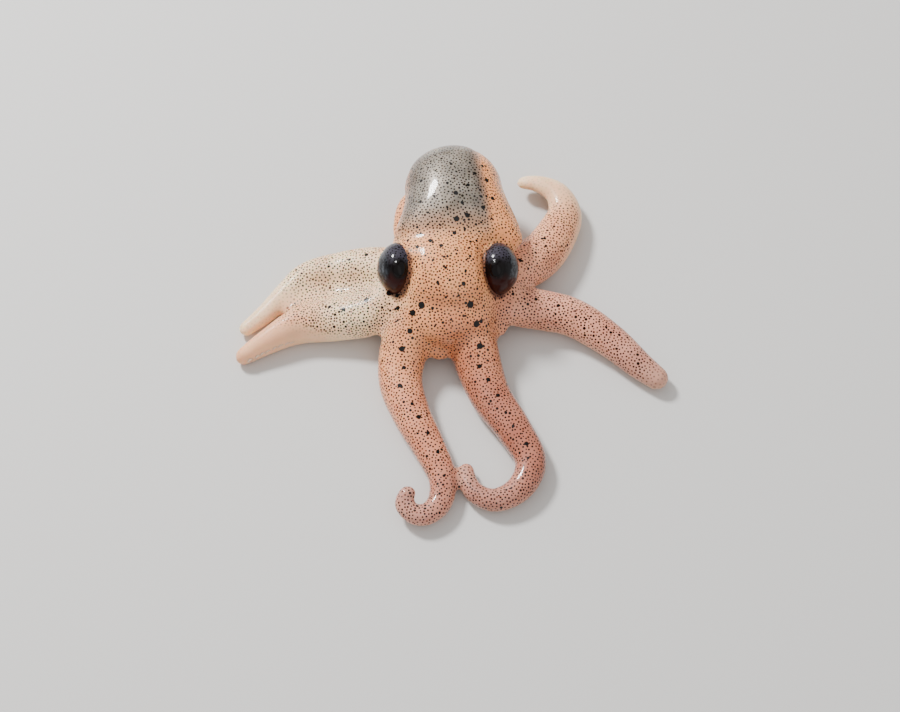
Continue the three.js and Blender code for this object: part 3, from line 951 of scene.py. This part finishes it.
def skin_material(settings):
    material, n = new_material("wet_skin")
    place = n.place()
    cloud = n.noise(place, 0.8, 3.0)
    own = n.attribute("flesh", "Color")
    darker = n.mix(1.0, own, CLOUDING, blend_type="MULTIPLY")
    flesh = n.mix(n.ramp(cloud, 0.35, 0.75), own, darker)
    flesh = n.mix(n.attribute("wall"), flesh, settings.amber)
    # Paler flesh where the clear mask is set: real towards clear tips and undersides, a painted glow along
    # the arms' sides.
    pale_and_glow = n.mix(0.35, flesh, settings.cream)
    flesh = n.mix(n.attribute("clear"), flesh, pale_and_glow)
    marbling = n.ramp(n.noise(place, 1.7, 5.0), 0.3, 0.75)
    marbled = n.mix(marbling, tone(settings.silver, 0.72), tone(settings.silver, 1.3))
    sac = n.attribute("sac")
    flesh = n.mix(sac, flesh, marbled)
    # Painted shade just inside the sac's edge.
    flesh = n.mix(n.attribute("painted_sac_shade"), flesh, settings.sac_shade)
    # Painted shade on the mantle's steep and lower sides.
    flesh = n.mix(n.attribute("flank_shade"), flesh, settings.flank_shade_tone)
    from_eye = n.math("MULTIPLY_ADD", n.noise(place, 6.0, 3.0), 0.22, n.attribute("gaze"))
    flesh = n.mix(n.ramp(from_eye, 1.16, 1.38, 0.85, 0.0), flesh, LID_RIM)
    fine = n.math("MULTIPLY", dots(n, place), n.attribute("cover"))
    from_spot = n.vector("DISTANCE", place, n.attribute("spot", "Vector"))
    from_spot = n.math("SUBTRACT", from_spot, n.attribute("spot_size"))
    ragged = n.math("MULTIPLY_ADD", n.noise(place, 9.0, 1.0), 0.06, from_spot)
    large = n.ramp(ragged, 0.042, 0.016)
    flesh = n.mix(fine, flesh, settings.pigment)
    flesh = n.mix(large, flesh, tone(settings.pigment, 0.1))
    bump = n.add("Bump", {"Strength": 0.3, "Distance": 0.00003, "Height": n.noise(place, 4.0, 4.0)})
    n.shader(
        Base_Color=flesh, Roughness=0.4, Specular_IOR_Level=0.1, Subsurface_Weight=0.4,
        Subsurface_Radius=(1.0, 0.4, 0.2), Subsurface_Scale=0.0004,
        Coat_Weight=n.attribute("wet"), Coat_Roughness=0.06, Coat_IOR=1.32,
        Metallic=n.math("MULTIPLY", sac, 0.2), Normal=bump.outputs["Normal"])
    return material


def eye_material(settings):
    material, n = new_material("wet_eye")
    place = n.place()
    split = n.add("SeparateXYZ", {"Vector": n.vector("SUBTRACT", place, EYE_MIDDLE)})
    across, along, up = split.outputs
    lateral = n.math("SUBTRACT", n.math("ABSOLUTE", across), EYE_OUT)
    cloud = n.noise(place, 2.2, 5.0)
    grain = n.ramp(n.noise(place, 15.0, 4.0), 0.42, 0.62)
    high = n.math("MULTIPLY_ADD", cloud, 0.7, n.math("MULTIPLY_ADD", along, 0.9, up))
    veiled = n.math("MULTIPLY", n.ramp(high, 0.8, 1.3), n.math("MULTIPLY_ADD", grain, 0.35, 0.65))
    colour = n.mix(veiled, settings.dark, settings.veil)
    strands = n.ramp(n.noise(n.vector("MULTIPLY", place, (1.0, 0.7, 1.3)), 7.0, 4.0), 0.46, 0.64, 0.25, 1.0)
    band = n.math("MULTIPLY", n.ramp(lateral, 0.22, 0.6), strands)
    colour = n.mix(band, colour, settings.iris)
    front = n.math("MULTIPLY_ADD", cloud, 0.3, n.math("MULTIPLY", along, -1.0))
    colour = n.mix(n.ramp(front, 0.7, 1.0), colour, settings.maroon)
    colour = n.mix(n.attribute("lens"), colour, settings.dark)
    length, height = PUPIL_SIZE
    along_slit = n.math("POWER", n.math("DIVIDE", along, length), 2.0)
    across_slit = n.math("POWER", n.math("DIVIDE", up, height), 2.0)
    slit = n.math("ADD", along_slit, across_slit)
    pupil = n.math("MULTIPLY", n.ramp(slit, 1.25, 0.85), n.ramp(lateral, 0.3, 0.45))
    colour = n.mix(pupil, colour, BLACK)
    fine = n.math("MULTIPLY", dots(n, place), n.ramp(high, 0.5, 1.0))
    colour = n.mix(fine, colour, settings.dark)
    n.shader(
        Base_Color=colour, Roughness=0.3, Specular_IOR_Level=0.02,
        Coat_Weight=1.0, Coat_Roughness=0.03, Coat_IOR=1.24)
    return material


def sucker_material(settings):
    material, n = new_material("sucker_flesh")
    flesh = n.mix(n.noise(n.place(), 3.0, 3.0), settings.flesh, tone(settings.flesh, 0.82))
    n.shader(
        Base_Color=flesh, Roughness=0.35, Subsurface_Weight=0.5,
        Subsurface_Radius=(1.0, 0.5, 0.3), Subsurface_Scale=0.0003,
        Coat_Weight=1.0, Coat_Roughness=0.08)
    return material


def assign(obj, material):
    obj.data.materials.clear()
    obj.data.materials.append(material)


# ---- operators ----

class OCTOPUS_OT_stage(bpy.types.Operator):
    """Makes the floor, the soft studio light and the camera"""

    bl_idname = "octopus.stage"
    bl_label = "Stage"

    def execute(self, context):
        settings = context.scene.octopus_stage
        deselect()
        bpy.ops.mesh.primitive_plane_add(size=1.2, location=(0, 0, 0))
        floor = bpy.context.object
        floor.name = "floor"
        material = bpy.data.materials.new("pale_floor")
        material.use_nodes = True
        shader = material.node_tree.nodes["Principled BSDF"]
        shader.inputs["Base Color"].default_value = (*settings.floor, 1)
        shader.inputs["Roughness"].default_value = 0.7
        assign(floor, material)

        aim = ORIGIN + Vector(AIM) * MM
        tilt = math.radians(settings.tilt)
        back = Vector((0, -math.cos(tilt), math.sin(tilt)))
        bpy.ops.object.camera_add(location=aim + back * settings.reach * MM)
        camera = bpy.context.object
        camera.rotation_euler = (-back).to_track_quat("-Z", "Y").to_euler()
        camera.data.lens = settings.lens
        camera.data.sensor_width = 36
        camera.data.clip_start = 0.001
        camera.data.clip_end = 10
        context.scene.camera = camera

        for name, direction, size, power in LAMPS:
            way = Vector(direction).normalized()
            bpy.ops.object.light_add(type="AREA", location=ORIGIN + way * LAMP_DISTANCE)
            light = bpy.context.object
            light.name = name
            light.data.shape = "DISK"
            light.data.size = size
            light.data.energy = power
            light.rotation_euler = (-way).to_track_quat("-Z", "Y").to_euler()
        world = bpy.data.worlds.new("studio")
        context.scene.world = world
        world.use_nodes = True
        world.node_tree.nodes["Background"].inputs["Color"].default_value = (1.0, 0.97, 0.94, 1)
        world.node_tree.nodes["Background"].inputs["Strength"].default_value = 0.35
        return {"FINISHED"}


class OCTOPUS_OT_skin(bpy.types.Operator):
    """Models the mantle, head, web, funnel and arms as one skin"""

    bl_idname = "octopus.skin"
    bl_label = "Skin"

    def execute(self, context):
        settings = context.scene.octopus_skin
        section = arm_section()
        forms = [arm_form(name, arm, section) for name, arm in ARM_SHAPES.items()]
        bpy.data.objects.remove(section)
        forms += [ball(HEAD_CENTRE, HEAD_SIZE), ball(CROWN_CENTRE, CROWN_SIZE)]
        forms += [ball(BROW_CENTRE, BROW_SIZE)]
        forms += [mantle_form(), funnel_form(), socket_form(1), socket_form(-1)]
        forms += web_forms()
        skin = join(forms, "skin")
        modifier(skin, "REMESH", mode="VOXEL", voxel_size=settings.step, adaptivity=0)
        modifier(skin, "SMOOTH", factor=0.5, iterations=5)
        for spread, passes in CREASE_SMOOTHING:
            smooth_creases(skin, spread, passes)
        points = coordinates(skin.data)
        beside_sac = smoothstep(-sac_edge(points), -0.05, 0.15) * smoothstep(points[:, 1], 0.9, 1.8)
        on_mantle = smoothstep(points[:, 2], 2.2, 2.6)
        points -= normals(skin.data) * (WALL_DROP * beside_sac * on_mantle)[:, None]
        open_lids(points)
        set_coordinates(skin.data, points)
        modifier(skin, "REMESH", mode="VOXEL", voxel_size=settings.step, adaptivity=0)
        modifier(skin, "SMOOTH", factor=0.5, iterations=3)
        points = coordinates(skin.data)
        open_lids(points)
        points[:, 2] = np.maximum(points[:, 2], LOWEST_SKIN)
        set_coordinates(skin.data, points)
        cells = mask_skin(skin.data, settings)
        assign(skin, skin_material(settings))
        print("skin faces", len(skin.data.polygons), "pigment cells", cells)
        nodes = [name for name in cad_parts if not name.startswith("eye_")]
        finish_piece(skin, "skin", *nodes)
        return {"FINISHED"}


class OCTOPUS_OT_eyes(bpy.types.Operator):
    """Models the two eyes"""

    bl_idname = "octopus.eyes"
    bl_label = "Eyes"

    def execute(self, context):
        material = eye_material(context.scene.octopus_eyes)
        for side, name in ((1, "eye_left"), (-1, "eye_right")):
            eye = ball(eye_centre(side), EYE_SIZE, cuts=EYE_CUTS)
            points = coordinates(eye.data)
            offset = (points - eye_centre(side)) / np.array(EYE_SIZE)
            cornea = smoothstep(offset[:, 0] * side, 0.72, 0.95)
            length, height = PUPIL_GROOVE
            slit = np.exp(-((offset[:, 1] / length) ** 4) - ((offset[:, 2] / height) ** 4)) * cornea
            points[:, 0] += side * (CORNEA_RISE * cornea - PUPIL_DEPTH * slit)
            way = np.array(LENS_WAY) * (side, 1, 1)
            off_lens = np.degrees(np.arccos(np.clip(offset @ (way / np.linalg.norm(way)), -1, 1)))
            dome = np.sqrt(np.clip(1 - (off_lens / LENS_ANGLE) ** 2, 0, 1))
            points += offset * (LENS_RISE * dome)[:, None]
            set_coordinates(eye.data, points)
            paint(eye.data, "lens", 1 - smoothstep(off_lens, LENS_ANGLE - 3, LENS_ANGLE + 12))
            add_pigment(eye.data, np.full(len(points), EYE_DOT_GAP), EYE_DOT_RADIUS, 21)
            eye.name = eye.data.name = "ball_of_" + name
            assign(eye, material)
            finish_piece(eye, "eye", name)
        return {"FINISHED"}


class OCTOPUS_OT_suckers(bpy.types.Operator):
    """Models one sucker and sets copies of it in two rows under each arm"""

    bl_idname = "octopus.suckers"
    bl_label = "Suckers"

    def execute(self, context):
        settings = context.scene.octopus_suckers
        model = lathe(SUCKER_OUTLINE, SUCKER_SIDES, "sucker")
        shape = coordinates(model.data)
        copies = []
        for arm in ARM_SHAPES.values():
            for index in range(settings.count):
                share = index / (settings.count - 1)
                i = arm.at(SUCKERS_FROM + SUCKERS_OVER * share**SUCKERS_CROWDING)
                side = 1 if index % 2 == 0 else -1
                width = arm.width[i]
                radius = min(settings.radius * (1 - 0.4 * share), width * 0.44)
                foot = arm.middle[i] - arm.up[i] * (width * ARM_FLATNESS * ORAL_FLATNESS + SUCKER_HEIGHT)
                foot = foot + arm.aside[i] * side * width * 0.3
                obj = bpy.data.objects.new("sucker", model.data.copy())
                context.collection.objects.link(obj)
                points = (
                    foot + np.outer(shape[:, 0] * radius, arm.aside[i])
                    + np.outer(shape[:, 1] * radius, arm.forward[i])
                    + np.outer(shape[:, 2] * SUCKER_DEPTH, arm.up[i]))
                points[:, 2] += max(0.0, -points[:, 2].min())
                set_coordinates(obj.data, points)
                copies.append(obj)
        suckers = join(copies, "suckers")
        bpy.data.objects.remove(model)
        face_outwards(suckers)
        assign(suckers, sucker_material(settings))
        finish_piece(suckers, "sucker")
        return {"FINISHED"}


class OCTOPUS_PT_panel(bpy.types.Panel):
    """Shows a button for each piece"""

    bl_idname = "OCTOPUS_PT_panel"
    bl_label = "Octopus hatchling"
    bl_space_type = "VIEW_3D"
    bl_region_type = "UI"
    bl_category = "Octopus"

    def draw(self, context):
        for name in PIECES:
            self.layout.operator("octopus." + name)


PIECES = ("stage", "skin", "eyes", "suckers")
SETTINGS = {"octopus_skin": SkinSettings, "octopus_eyes": EyeSettings,
            "octopus_suckers": SuckerSettings, "octopus_stage": StageSettings}
CLASSES = (*SETTINGS.values(), OCTOPUS_OT_stage, OCTOPUS_OT_skin, OCTOPUS_OT_eyes,
           OCTOPUS_OT_suckers, OCTOPUS_PT_panel)


def register():
    for cls in CLASSES:
        bpy.utils.register_class(cls)
    for name, cls in SETTINGS.items():
        setattr(bpy.types.Scene, name, PointerProperty(type=cls))


def unregister():
    for name in SETTINGS:
        delattr(bpy.types.Scene, name)
    for cls in reversed(CLASSES):
        bpy.utils.unregister_class(cls)


def main():
    register()
    for name in PIECES:
        getattr(bpy.ops.octopus, name)()


if __name__ == "__main__":
    main()
